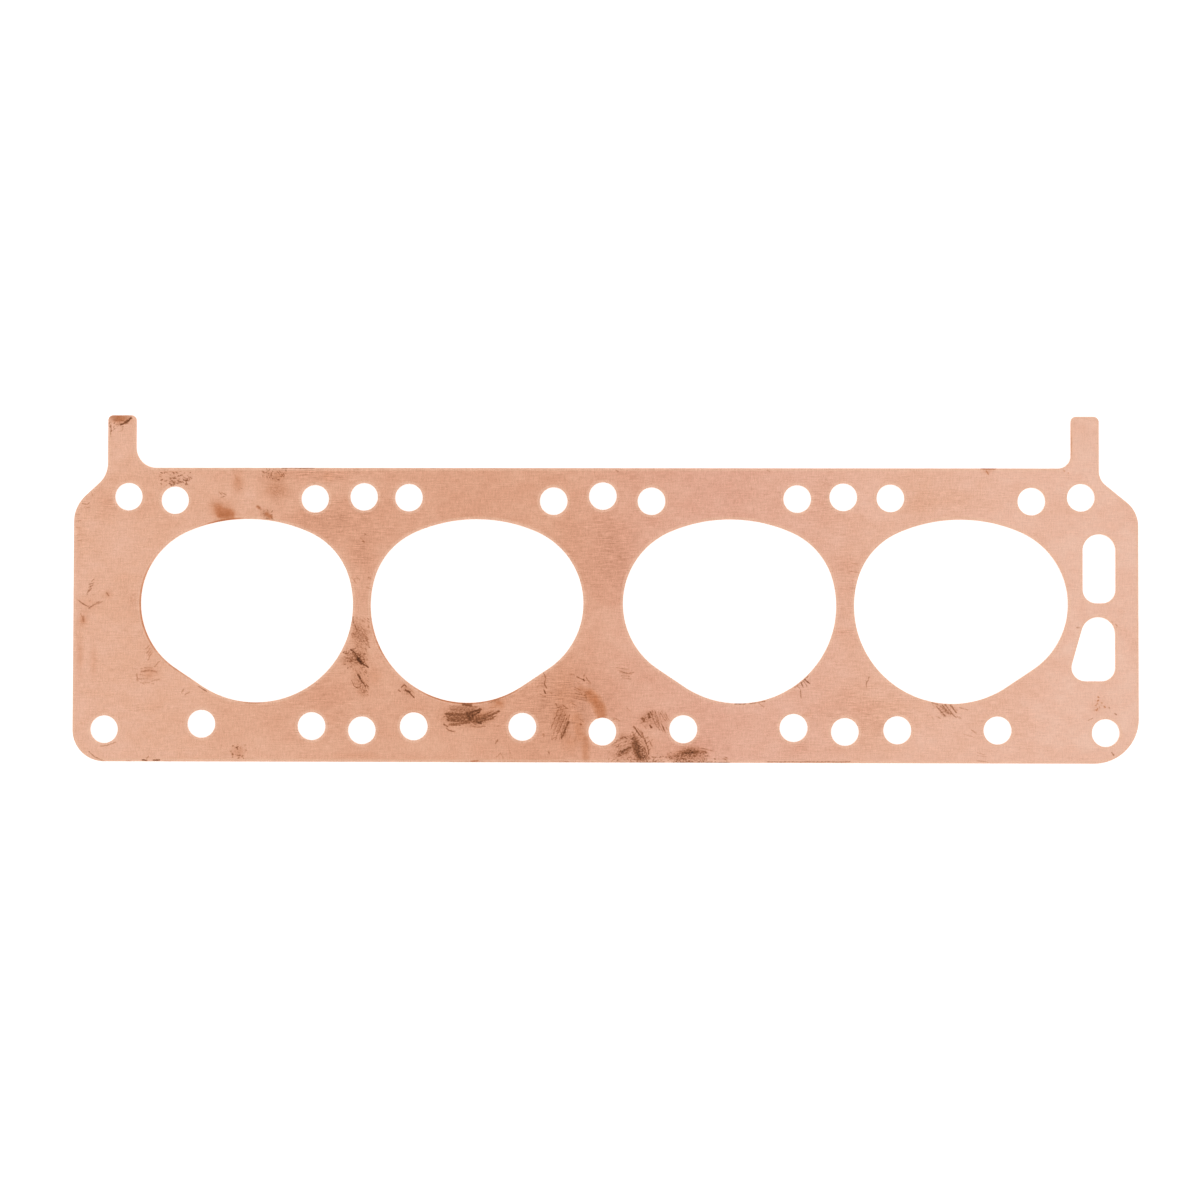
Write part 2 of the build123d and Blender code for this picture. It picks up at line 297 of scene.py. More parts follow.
    (0.4, 0.9, (-21.1, -56.9), (-20.7, -57.5)),
    (0.3, 0.5, (-10.2, -43.4), (-7.4, -45.4)),
    # Faint scratches below the web of the second and third openings
    *hatch(5, 0.35, 0.5, [(5, -24.1), (10.5, -25)], [(7.8, -28.2), (10.8, -28.7)]),
    (0.45, 0.5, (6.6, -25.5), (9.7, -26.5), (12.2, -25.9)),
    # Comb of strokes beside the middle stud hole
    (0.6, 1.4, (15.4, -43.8), (16, -44.8)),
    (0.6, 1.5, (17.7, -42.3), (18.3, -43.4)),
    (0.65, 0.7, (18.3, -41.3), (19.3, -43.1)),
    (0.65, 0.9, (18.3, -46.6), (18.9, -47.5)),
    *hatch(6, 0.42, 0.5, [(18.9, -40.7), (21, -45.2)], [(24.3, -41.6), (25.8, -44.6)]),
    *hatch(4, 0.55, 0.5, [(19.1, -43.6), (21.3, -47.8)], [(22.6, -45.8), (24.6, -49.4)]),
    (0.4, 0.5, (14.4, -45.8), (18.3, -44.8)),
    (0.35, 0.5, (2.7, -45), (5, -44), (6.6, -45)),
    (0.3, 0.5, (9.3, -39.9), (10.5, -41.1)),
    # Smudge at the middle of the long edge: its core and the lines round it
    (0.68, 4, (12.6, -53.6), (13.2, -56.3), (14.4, -59)),
    (0.5, 1.8, (12.1, -50.5), (12.8, -52.8)),
    *hatch(3, 0.6, 0.6, [(12.1, -47.3), (15.2, -51.6)], [(14.6, -48.6), (17.4, -54.4)]),
    (0.6, 0.7, (16.3, -52.4), (17.5, -55.5), (17.9, -57.9)),
    *hatch(4, 0.5, 0.7, [(11.7, -54.4), (14.2, -59.8)], [(15.8, -55.6), (17.9, -60.2)]),
    (0.5, 0.7, (11.3, -59.8), (16.3, -60.2)),
    (0.4, 0.6, (18.3, -52.8), (19.1, -54.8)),
    (0.6, 1.5, (10.7, -55.2), (7.4, -56.9)),
    *hatch(3, 0.52, 0.8, [(10.9, -55.1), (8.2, -56.1), (5.8, -58)],
           [(9.7, -57.1), (8, -57.8), (6.2, -59)]),
    (0.55, 1, (7, -51.6), (8.5, -51.1), (9.3, -51.8)),
    *hatch(4, 0.36, 0.6, [(3.1, -54.8), (7.4, -52)], [(6.4, -55.4), (11.3, -53.6)]),
    (0.35, 0.6, (5.4, -59), (3.5, -60.6)),
    # Second smudge on that edge, a flat arc
    (0.62, 2.2, (31.2, -57.3), (33.9, -57.1), (36.6, -56.9)),
    (0.45, 0.9, (26.1, -59.8), (28.8, -57.9), (31.6, -56.5), (34.3, -55.7)),
    *hatch(3, 0.5, 0.7, [(34.3, -55.5), (37.4, -55), (40.1, -55.3)],
           [(34, -57.8), (37, -57), (40.1, -57)]),
    (0.4, 0.6, (28.4, -59), (31.6, -58.7)),
    (0.42, 0.6, (33.1, -59), (35.5, -59.8)),
    (0.35, 0.5, (40.1, -55.9), (42.5, -56.5)),
    # A dark line along the long edge
    (0.3, 0.5, (-59.7, -61), (10.5, -60.9)),
    (0.45, 0.6, (10.5, -60.9), (22.2, -60.9)),
    (0.5, 0.6, (26.9, -60.9), (49.5, -60.9)),
    (0.42, 0.6, (64, -60.7), (96, -60.6)),
    (0.45, 0.5, (-16.8, -60.8), (-13.7, -60.7)),
    # Round the third and fourth openings
    (0.55, 0.7, (51.4, -38.2), (55.3, -38.1)),
    (0.5, 0.5, (57.2, -38.1), (63.1, -37.1)),
    (0.35, 0.5, (60.7, -37.9), (62.7, -39.4)),
    (0.5, 0.5, (75.5, -30.9), (76.9, -32.4), (77, -35.9)),
    *hatch(3, 0.55, 0.5, [(76.7, -30.1), (78.2, -31.5)], [(79, -28.7), (80.4, -30.1)]),
    (0.4, 0.5, (74.7, -31.6), (77.5, -29.7), (79.8, -27.3)),
    (0.5, 0.5, (102.3, -31.6), (102.7, -29.6), (103.5, -27.7)),
    *hatch(4, 0.28, 0.5, [(96.1, 16.4), (99.2, 16.2)], [(96.1, 7), (99.3, 7)]),
    (0.42, 0.7, (127.9, -37.6), (130.2, -38.3)),
    *hatch(5, 0.48, 0.8, [(129.8, -38.9), (133.1, -42.6)], [(134.9, -38.2), (137.4, -41.4)]),
    (0.45, 0.7, (134.9, -41.2), (137.4, -43.4)),
    (0.38, 0.5, (138.7, -39.5), (141.8, -40.3)),
    (0.3, 0.5, (143.2, -48.1), (145, -49.4)),
    (0.22, 0.5, (140.3, -49.8), (144.6, -51)),
    *hatch(3, 0.3, 0.5, [(145.3, -56.8), (148.4, -57.4)], [(145.5, -60), (149.6, -60.4)]),
    # Slot end
    (0.38, 0.5, (183.9, -8.2), (185.4, -8.3)),
    (0.25, 0.5, (197.2, -5.9), (198, -6.3)),
    (0.3, 0.5, (199.1, -6.9), (199.9, -7.7)),
    (0.35, 0.6, (196.4, -39.1), (196.8, -39.5)),
    (0.45, 0.7, (198.9, -41.6), (199.5, -42)),
    (0.3, 0.5, (188.4, -44.3), (190.3, -43.4)),
    (0.5, 0.7, (197.5, -56.8), (198.3, -57.8)),
]
# Each group: how many flecks, how dark, how wide, the corners of their box, their
# length, and the way they are turned in degrees, or None for every way
soot_flecks = [
    (14, 0.42, 0.5, (-193.5, 67.7), (-187, 72), 0.9, 60),
    (54, 0.5, 0.5, (-173.5, 46.6), (-161, 52.4), 0.8, -10),
    (26, 0.58, 0.5, (-170, 46.6), (-162, 49.5), 0.8, None),
    (40, 0.55, 0.5, (-133.5, 48.6), (-123.7, 53.2), 0.7, -60),
    (12, 0.45, 0.6, (-133.2, 33.5), (-129, 37.2), 0.7, None),
    (8, 0.25, 0.5, (-109.9, 48.2), (-105.6, 52.5), 1, 0),
    (8, 0.28, 0.5, (-145.2, 44.3), (-141.3, 52.9), 0.8, -50),
    (10, 0.25, 0.5, (-202.3, -1.2), (-195.3, 10.5), 0.7, 40),
    (12, 0.28, 0.5, (-182.6, -30.9), (-173.2, -24.7), 1, 5),
    (22, 0.45, 0.5, (-145.3, -59.8), (-139.1, -54.3), 0.6, None),
    (6, 0.6, 0.7, (-145, -59), (-140.4, -55), 0.8, None),
    (4, 0.5, 0.6, (-96, 24), (-93, 29.2), 0.8, -40),
    (6, 0.4, 0.5, (-98, 6.5), (-91.2, 13.3), 1.8, -42),
    (9, 0.22, 0.5, (-98.1, 5.9), (-90.7, 14.5), 0.9, 0),
    (70, 0.42, 0.5, (-98.1, -17.4), (-91.1, -5), 0.9, -50),
    (60, 0.55, 0.5, (-101.4, -24.5), (-91.8, -17.4), 0.8, None),
    (30, 0.48, 0.5, (-97.3, -35.4), (-91.5, -24.5), 0.9, -50),
    (16, 0.38, 0.5, (-102, -22.9), (-96.5, -18.2), 0.9, -40),
    (14, 0.28, 0.5, (-98.5, -36), (-90.6, -19.4), 1.2, -55),
    (6, 0.55, 0.6, (-95, -35.5), (-91.8, -32.9), 0.9, 0),
    (16, 0.35, 0.5, (-61.3, -46.3), (-49.6, -41.6), 2, 0),
    (12, 0.3, 0.5, (-50.4, -47), (-40.2, -41.6), 2, 22),
    (12, 0.25, 0.5, (-26, -37), (-20, -30), 0.7, None),
    (14, 0.25, 0.5, (-18.4, -52.6), (-9.8, -36.8), 1.6, 68),
    (10, 0.22, 0.5, (-11.3, -37.6), (-4.3, -29), 1, -30),
    (70, 0.5, 0.5, (1.9, -61), (19.9, -50.9), 0.8, 40),
    (100, 0.6, 0.5, (24.5, -61), (40.9, -57.1), 0.6, None),
    (60, 0.5, 0.5, (8.2, -61), (23.8, -58.7), 0.6, None),
    (26, 0.5, 0.5, (9.7, -54.8), (16.7, -49.3), 0.6, None),
    (14, 0.35, 0.5, (14.4, -49.3), (26.1, -39.9), 1.4, -60),
    (10, 0.25, 0.5, (20.2, -61), (26.9, -57.1), 0.8, 0),
    (6, 0.45, 0.6, (43, -60), (50.5, -57.3), 0.9, -20),
    (16, 0.25, 0.5, (127.9, -43.6), (139.5, -37.7), 1.6, -45),
    (12, 0.22, 0.5, (189.2, -42.6), (198.6, -34.7), 0.4, None),
    (6, 0.18, 0.5, (195.6, -10), (201.9, -3.4), 0.5, None),
]
tarnish_strokes = [
    # Orange stain at the top of the first opening, and the spots to its right
    (0.6, 5, (-149.4, 35.8), (-146, 35.6)),
    (0.4, 3.4, (-148, 34.9), (-145.4, 35.4)),
    (0.5, 2.2, (-131.6, 35.6), (-130.2, 34.4)),
    (0.45, 1.8, (-135.3, 38.5), (-134.7, 38)),
    # Stain left by a drop above the hole at mid length, and its run to the long edge
    (0.35, 4, (-8.4, -32.4), (-5.6, -34)),
    (0.62, 6.2, (-5.2, -34.6), (-2.8, -37), (-1.2, -40), (-0.6, -42.6)),
    (0.3, 6, (-10.2, -43.4), (-8.2, -50.9)),
    (0.42, 4.3, (-6.7, -52), (-6.5, -59)),
    # Spots by the edges
    (0.8, 0.8, (-51.2, -60.8), (-48.5, -60.6)),
    (0.95, 1, (147.2, 53.7), (152.7, 53.7)),
    (0.6, 1, (149.2, 52.5), (149.9, 51.4)),
    (0.5, 0.7, (179.3, 52.8), (179.7, 52.6)),
    (0.5, 0.7, (180.9, 52), (181.1, 51.8)),
]
tarnish_flecks = [(10, 0.6, 0.7, (190.8, -41.6), (195.6, -35.2), 0.6, None)]
# Each cloud: its depth, its centre and its two radii in mm, and the first one's turn in
# degrees
soot_clouds = [
    (0.18, (-189.4, 72.8), (4.5, 1.8), 0),
    (0.1, (-167.3, 49.8), (6.2, 3.1), 0),
    (0.14, (-129.6, 50.8), (5.5, 2.7), 0),
    (0.22, (-127.7, 45), (5.5, 4.7), 0),
    (0.25, (-132, 35.6), (3.1, 2), -38),
    (0.16, (-183.9, 1.5), (2.3, 4.7), 0),
    (0.15, (-142.2, -57.1), (3.1, 2.7), 0),
    (0.36, (-95, -12), (3.1, 7.5), 12),
    (0.36, (-98.1, -21), (4.7, 3.1), 0),
    (0.35, (-95.4, -20.4), (2.3, 3.5), 35),
    (0.26, (-95, -29.2), (3.1, 5.1), 20),
    (0.25, (-93.8, -33.9), (2.3, 2.3), 0),
    (0.3, (-76.2, -33.4), (3.1, 2), -35),
    (0.42, (-56, -44.2), (5.5, 2.3), 0),
    (0.55, (-50.8, -42.8), (2.7, 2.3), 30),
    (0.4, (-46, -43.7), (5, 1.8), 25),
    (0.36, (-48, -45.4), (3.9, 1.4), 10),
    (0.3, (-55.5, -40.4), (5.5, 1.6), 0),
    (0.2, (-53.5, -43.2), (11.7, 5.1), 0),
    (0.16, (-15.6, -46.6), (4.3, 7), 0),
    (0.4, (-14.9, -49.2), (1.2, 3.1), -20),
    (0.25, (-16.8, -43.8), (3.1, 3.9), -15),
    (0.1, (7.4, -25.9), (3.9, 3.1), 0),
    (0.2, (20.2, -44.6), (5.9, 4.7), 0),
    (0.35, (17.9, -43.1), (2, 1.6), 0),
    (0.34, (15.6, -44.2), (1.4, 1.2), 0),
    (0.62, (13.8, -55.9), (2.5, 4.3), 20),
    (0.45, (12.1, -52), (2, 2), 0),
    (0.45, (16, -59), (2, 2.3), 0),
    (0.55, (7.8, -57), (3.1, 1.4), 30),
    (0.3, (8.2, -51.2), (2, 1.2), 0),
    (0.22, (9.7, -56.3), (9.4, 5.5), 0),
    (0.7, (33.9, -56.9), (4.7, 1.8), 6),
    (0.36, (29.2, -59), (3.5, 2), 0),
    (0.3, (35.5, -59), (6.2, 2.3), 0),
    (0.12, (86.4, 48.3), (4.3, 5.1), 0),
    (0.32, (133, -40.2), (3.9, 2), -30),
]
tarnish_clouds = [
    (0.6, (-189.6, 72.8), (4.6, 2), 0),
    (0.4, (-143, 48.3), (3, 5.6), 0),
    (0.32, (-128, 45.2), (7.6, 5), 0),
    (0.3, (-127.6, 50.8), (4.7, 2.3), 0),
    (0.28, (-108, 50.4), (2.3, 2.5), 0),
    (0.4, (-147.8, 35.6), (5, 3.2), 0),
    (0.38, (-151.2, 38.6), (3, 4), 35),
    (0.3, (-149, 37.5), (5.5, 4.5), 0),
    (0.22, (-131.8, 35.8), (3.5, 2.5), -38),
    (0.3, (-204.5, -19.6), (1.6, 10), 0),
    (0.25, (-199.1, -21.6), (1.6, 9.4), 0),
    (0.4, (-203.4, -5.9), (2.3, 3.1), 0),
    (0.25, (-193.6, 4.2), (2.3, 2.3), 0),
    (0.2, (-200.7, 0.3), (5.5, 3.9), 0),
    (0.18, (-176.8, -18), (2.3, 3.9), 0),
    (0.32, (-177.2, -26.6), (4.7, 3.5), 0),
    (0.3, (-142.3, -57.1), (3.5, 3.1), 0),
    (0.22, (-96.8, -58.5), (13.3, 1.6), 0),
    (0.22, (-95, -21.4), (5.5, 15.6), 0),
    (0.25, (-88.7, -27.6), (4, 4.4), 0),
    (0.18, (-55.9, -43.9), (10.9, 4.7), 0),
    (0.35, (-48.4, -43), (5.5, 3), 15),
    (0.5, (-41.4, -38.1), (3.5, 2.3), 30),
    (0.35, (-39.3, -39), (1.4, 2.3), 0),
    (0.2, (-8.6, -34.9), (3.9, 3.1), 0),
    (0.25, (-2.4, -38.4), (3.5, 4.7), 25),
    (0.3, (-15.2, -35.5), (6, 13), 0),
    (0.18, (-9.6, -50), (3.9, 8), 0),
    (0.3, (-12.9, -54), (4.7, 4.7), 0),
    (0.2, (14.4, -54.4), (10.1, 7.8), 0),
    (0.22, (33.1, -57.9), (8.6, 3.5), 0),
    (0.2, (79, -42.1), (3.5, 1.6), 0),
    (0.3, (149.8, 52.7), (3.1, 1.2), 0),
    (0.12, (187.3, 64.8), (5.1, 9.4), 0),
    (0.15, (193.5, 72.6), (2, 3.1), 0),
    (0.15, (193.1, -38.4), (5.5, 4.7), 0),
]
# Where a thin darker orange line follows an edge
edge_clouds = [
    (0.6, (-189.8, 72), (3, 4), 0),
    (0.95, (-148.5, 33.4), (9, 4), 0),
    (0.75, (-178.5, -3), (8, 26), 0),
    (0.5, (-168, -25), (12, 8), 0),
    (0.6, (-136.4, -38.3), (6, 3), 0),
    (0.6, (-86, -12), (8, 20), 0),
    (0.85, (-58, -37), (24, 8), 0),
    (0.5, (-36, -34), (8, 4), 0),
    (0.4, (182.4, 63.4), (3, 6), 0),
]
# Soft patches of painted shade where the sheet is darker; below zero, of painted sheen where it
# is brighter
shade_and_sheen_clouds = [
    (0.3, (-204, 30), (4, 18), 0),
    (0.3, (-195, 39), (6, 5.5), 0),
    (-0.3, (-161.8, 49.7), (9, 3), 0),
    (0.5, (-103, 35), (24, 10), 0),
    (0.6, (-111, 51), (24, 4), 0),
    (0.5, (-94.5, 19.6), (5.5, 12), 0),
    (0.25, (-110, -37), (16, 12), 0),
    (0.25, (-118, -50.5), (16, 5.5), 0),
    (-0.25, (-136, -52), (14, 5.5), 0),
    (-0.3, (-192, -52), (13, 9), 0),
    (-0.35, (-72, -54.5), (14, 6), 0),
    (0.3, (-13, 17), (5, 20), 0),
    (0.5, (-17, -37), (27, 15), 0),
    (0.6, (4, 21.5), (10, 16), 0),
    (0.4, (19.4, 33), (4, 3.5), 0),
    (0.3, (8.2, 50.6), (6, 3), 0),
    (-0.3, (11.3, -38), (9, 3.5), 0),
    (-0.3, (21.4, -50.5), (3.5, 4.7), 0),
    (0.35, (34, -54.4), (16, 5.5), 0),
    (0.35, (84.5, 41.3), (12, 10), 0),
    (0.3, (95, 16), (4, 20), 0),
    (0.5, (94, -10.2), (4, 2), 0),
    (0.45, (104, -42), (24, 14), 0),
    (0.4, (76.7, -55.4), (4.7, 2.7), 0),
    (0.25, (139, 41.4), (23, 5.5), 0),
    (0.25, (160, -47), (16, 8), 0),
    (0.3, (183.6, 50), (7, 3), 0),
    (-0.3, (187.5, 66), (6, 10), 0),
]


wave_lengths = 1.1, 1.4, 1.9, 2.7, 4.0  # in mm
wave_height = 0.06 * MM


def wobbled(points):
    """Points moved to and fro by a sum of plane waves, each with a direction of its own.

    A stroke looked up at moved points has an uneven, hand-made edge.
    """
    rng = np.random.default_rng(11)
    moved = points.copy()
    for length in wave_lengths:
        angle, phase, push = rng.uniform(0, 2 * np.pi, 3)
        wave = np.sin(points @ (cos(angle), sin(angle)) * 2 * np.pi / (length * MM) + phase)
        moved += wave_height * wave[:, None] * (cos(push), sin(push))
    return moved


def stroke_depth(points, strokes):
    """Depth of the deepest stroke at each point.

    Its fade is 1 on its line and 0 at its edge, and its depth is strength * fade *
    (2 - fade), a parabola across its width.
    """
    depth = np.zeros(len(points))
    order = points[:, 0].argsort()
    across = points[order, 0]
    for strength, width, *line in strokes:
        line = np.array(line, float) * MM
        reach = width * MM / 2
        low, high = line.min(axis=0) - reach, line.max(axis=0) + reach
        near = order[slice(*across.searchsorted((low[0], high[0])))]
        near = near[(points[near, 1] > low[1]) & (points[near, 1] < high[1])]
        for a, b in zip(line[:-1], line[1:]):
            along = ((points[near] - a) @ (b - a) / ((b - a) @ (b - a))).clip(0, 1)
            gap = points[near] - a - along[:, None] * (b - a)
            fade = (1 - np.hypot(*gap.T) / reach).clip(0, 1)
            depth[near] = np.maximum(depth[near], strength * fade * (2 - fade))
    return depth


cloud_falloff = 1.4  # leaves a quarter of a cloud's depth at its radii


def cloud_depth(points, clouds):
    """Depth of soft clouds that lie over each other, so what each leaves clear multiplies.

    Each is a bell, strength * exp(-falloff * gap**2), where gap is the distance from its
    centre in radii.
    """
    clear = np.ones(len(points))
    for strength, centre, radii, turned in clouds:
        c, s = cos(radians(turned)), sin(radians(turned))
        gap = (points / MM - centre) @ ((c, -s), (s, c)) / radii
        clear *= 1 - strength * np.exp(-cloud_falloff * (gap**2).sum(axis=1))
    return 1 - clear


fleck_halves = 0.2, 0.6  # half a fleck's length, as a share of the group's
fleck_depths = 0.5, 1.2  # its depth, as a share of the group's
fleck_order = 7  # flecks turned alike stray from the group's turn by 180 / 7 degrees at most


def scattered_flecks(groups, seed):
    """Short strokes strewn at random through each group's box, all turned about alike."""
    rng = np.random.default_rng(seed)
    flecks = []
    for count, strength, width, low, high, length, turned in groups:
        middle = rng.uniform(low, high, (count, 2))
        angle = np.radians(rng.uniform(-180, 180, count))
        if turned is not None:
            angle = radians(turned) + angle / fleck_order
        along = np.c_[np.cos(angle), np.sin(angle)]
        half = length * rng.uniform(*fleck_halves, (count, 1)) * along
        dark = strength * rng.uniform(*fleck_depths, count)
        flecks += [(d, width, a, b) for d, a, b in zip(dark, middle - half, middle + half)]
    return flecks


# ---------------------------------------------------------------------------------
# Gasket sheet
# Annealed copper sheet 1.1 mm thick. It lies flat; its upper edges are deburred, which
# leaves them slightly rounded.
# ---------------------------------------------------------------------------------

sheet_low, sheet_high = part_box("head_gasket")
thickness = sheet_high[2] - sheet_low[2]
edge_round = 0.12 * MM
rim_highlight_width = 1.25 * MM  # the band along every edge that is painted paler, a painted highlight
rim_depths = np.array([0.4, 0.8, 1.25]) * MM  # rings of points inside every edge
edge_line_width = 0.6 * MM  # a darker line that follows an edge fades over this width
edge_line_end = 1.4  # and is gone this many widths from the edge

dark_strokes = soot_strokes + scattered_flecks(soot_flecks, seed=7)
damp_strokes = tarnish_strokes + scattered_flecks(tarnish_flecks, seed=8)
fringe = 1  # closer points cover each stroke and half this on both sides of it, in mm
all_strokes = [(1, width + fringe, *line) for _, width, *line in dark_strokes + damp_strokes]


row_height = 0.866  # of a grid of even triangles, as a share of their sides
point_stray = 0.15  # how far a grid's point strays, as a share of the spacing


def scattered_grid(spacing, seed):
    """Points over the sheet's box on a triangular grid, each moved a little at random."""
    rng = np.random.default_rng(seed)
    across = np.arange(sheet_low[0], sheet_high[0], spacing)
    up = np.arange(sheet_low[1], sheet_high[1], spacing * row_height)
    grid = np.stack(np.meshgrid(across, up), axis=-1)
    grid[1::2, :, 0] += spacing / 2
    grid = grid.reshape(-1, 2)
    return grid + rng.uniform(-point_stray, point_stray, grid.shape) * spacing


# How far apart the upper face's points are, and how far from every edge they keep, in mm
upper_spacing = {"strokes": (0.28, 0.25), "clouds": (0.7, 1.6), "clean": (1.4, 1.7)}
cloud_seen = 0.22  # a cloud fainter than this needs no closer points


def upper_points():
    """Points of the upper face: rings inside every edge, and closer ones where marks lie."""
    rims = (edge_points + rim_depths[:, None, None] * edge_inward).reshape(-1, 2)
    made = [rims[stroke_depth(rims, all_strokes) == 0]]
    for seed, (ground, (spacing, margin)) in enumerate(upper_spacing.items(), start=1):
        grid = scattered_grid(spacing * MM, seed)
        stroked = stroke_depth(grid, all_strokes) > 0
        clouded = cloud_depth(grid, soot_clouds + tarnish_clouds) > cloud_seen
        on = {"strokes": stroked, "clouds": ~stroked & clouded, "clean": ~stroked & ~clouded}
        grid = grid[on[ground]]
        made.append(grid[depth_inside(grid) > margin * MM])
    return np.concatenate(made)


convex_hull = 0  # the triangulation that fills the points' hull
merge_distance = 1e-6  # points closer than this are one, in mm
bridge_depth = 0.0002 * MM  # a triangle no deeper than this inside the edge is off the sheet


def face_triangles(points, ring, inset):
    """Delaunay triangles over the sheet between points, of which the first ring are its edges.

    Those edges lie an inset inside the sheet's own. Three edge points may also bridge an
    opening or a hollow of the outline, and such a triangle is left out: its middle lies no
    deeper than they do.
    """
    sides = np.stack([np.arange(ring), edge_after], 1)
    corners = list(map(Vector, (points / MM).tolist()))
    result = delaunay_2d_cdt(corners, sides.tolist(), [], convex_hull, merge_distance)
    triangles = np.array(result[2])
    bridging = (triangles < ring).all(axis=1)
    middles = points[triangles[bridging]].mean(axis=1)
    bridging[bridging] = depth_inside(middles) < inset + bridge_depth
    return triangles[~bridging]


under_spacing = 4 * MM  # between the points of the underside
under_margin = 1.5 * MM  # from every edge to them
wall_turns = np.radians([0, 30, 60, 90])  # along the quarter circle of a rounded edge


def gasket_mesh():
    """The sheet: walls carried round every edge, closed by a face above and below.

    The wall's profile rises straight from the underside, then follows a quarter circle
    inwards to the upper face. At each turn it lies edge_round * (1 - cos(turn)) inside the
    edge, and edge_round * (1 - sin(turn)) below the upper face.
    """
    ring = len(edge_points)
    inset = np.concatenate([[0], edge_round * (1 - np.cos(wall_turns))])
    height = np.concatenate([[0], thickness - edge_round * (1 - np.sin(wall_turns))])
    flat = edge_points + inset[:, None, None] * edge_inward
    lift = np.broadcast_to(height[:, None, None], (*flat.shape[:2], 1))
    wall = np.concatenate([flat, lift], axis=2).reshape(-1, 3)
    here, there = np.arange(ring), edge_after
    below = (np.arange(len(inset) - 1) * ring)[:, None]
    quads = np.stack([below + here, below + there, below + ring + there, below + ring + here], 2)

    over = upper_points()
    upper = face_triangles(np.concatenate([flat[-1], over]), ring, edge_round)
    under = scattered_grid(under_spacing, seed=3)
    under = under[depth_inside(under) > under_margin]
    lower = face_triangles(np.concatenate([edge_points, under]), ring, 0)[:, ::-1]

    # From the numbers of points within each face to their numbers in the mesh
    first_over = len(wall)
    first_under = first_over + len(over)
    upper = np.where(upper < ring, upper + len(wall) - ring, upper - ring + first_over)
    lower = np.where(lower < ring, lower, lower - ring + first_under)
    over = np.c_[over, np.full(len(over), thickness)]
    under = np.c_[under, np.zeros(len(under))]
    faces = quads.reshape(-1, 4).tolist() + upper.tolist() + lower.tolist()
    mesh = bpy.data.meshes.new("gasket_sheet")
    mesh.from_pydata(np.concatenate([wall, over, under]), [], faces)
    # Only the quarter circle is shaded smooth
    smooth = np.zeros(len(faces), bool)
    smooth[ring : quads.size // 4] = True
    mesh.polygons.foreach_set("use_smooth", smooth)
    return mesh


sheet_mesh = gasket_mesh()
gasket_sheet = bpy.data.objects.new("gasket_sheet", sheet_mesh)
bpy.context.collection.objects.link(gasket_sheet)

places = np.empty(3 * len(sheet_mesh.vertices))
sheet_mesh.vertices.foreach_get("co", places)
places = places.reshape(-1, 3)
on_top = places[:, 2] > thickness / 2
places = places[:, :2]
inside = depth_inside(places)
edge_fade = (edge_line_end - inside / edge_line_width).clip(0, 1)
edge_line = cloud_depth(places, edge_clouds) * edge_fade
damp_line = stroke_depth(wobbled(places), damp_strokes)
damp_cloud = cloud_depth(places, tarnish_clouds)

# The sheet's paleness and pink along its length, X in mm and a share. It is painted paler
# towards the ends, most of all at the slot end, a painted sheen, and pinker past mid length.
sheen_along = (-208, -60, 0, 130, 208), (0.68, 0.43, 0.46, 0.78, 0.95)
pink_along = (-20, 10, 45, 80, 110), (0, 0.25, 0.45, 0.35, 0.1)

# The marks are on the upper face alone, and the tone goes right round the sheet
on_sheet = {
    # rim: a painted highlight, a paler band along every edge
    "rim_highlight": on_top * (1 - (inside / rim_highlight_width).clip(0, 1) ** 3),
    "scratches": on_top * stroke_depth(wobbled(places), dark_strokes),
    "soot": on_top * cloud_depth(places, soot_clouds),
    "tarnish_and_edge_line": on_top * (1 - (1 - damp_line) * (1 - damp_cloud) * (1 - edge_line)),
    # patches of painted shade, and below zero of painted sheen
    "shade_and_sheen": on_top * cloud_depth(places, shade_and_sheen_clouds),
    "pale_sheen": np.interp(places[:, 0] / MM, *sheen_along),
    "pink": np.interp(places[:, 0] / MM, *pink_along),
}
for name, depth in on_sheet.items():
    sheet_mesh.attributes.new(name, "FLOAT", "POINT").data.foreach_set("value", depth)


def linear(hex_colour):
    """Linear RGBA of an sRGB colour written as six hex digits, by the sRGB standard's curve."""
    value = np.array([int(hex_colour[i : i + 2], 16) for i in (0, 2, 4)]) / 255
    value = np.where(value <= 0.04045, value / 12.92, ((value + 0.055) / 1.055) ** 2.4)
    return (*value, 1.0)


# Annealed, rolled copper: a soft orange-pink metal, satin rather than bright, with the
# fine lines of the mill's rolls along the sheet and a fainter cross-hatch of polishing.
# A thin oxide dulls it and deepens its orange, and a paler band along every edge is a painted
# highlight.
copper = bpy.data.materials.new("annealed_rolled_copper")
copper.use_nodes = True
tree = copper.node_tree


def add(kind, inputs, stops=(), **settings):
    """Adds a node with its settings, and values or links for its inputs, by name or number."""
    node = tree.nodes.new("ShaderNode" + kind)
    for name, value in settings.items():
        setattr(node, name, value)
    for name, value in inputs.items():
        if isinstance(value, bpy.types.NodeSocket):
            tree.links.new(value, node.inputs[name])
        else:
            node.inputs[name].default_value = value
    for position, _ in stops[1:-1]:
        node.color_ramp.elements.new(position)
    for number, (position, colour) in enumerate(stops):
        node.color_ramp.elements[number].position = position
        node.color_ramp.elements[number].color = linear(colour)
    return node.outputs


place = add("TexCoord", {})["Object"]
marks = {name: add("Attribute", {}, attribute_name=name)["Fac"] for name in on_sheet}
mix_from, mix_to, mixed = 6, 7, 2  # the numbers of a Mix node's two colours and its result
mark_shows, mark_full = 0.03, 0.5  # depths at which a mark starts to show and is full

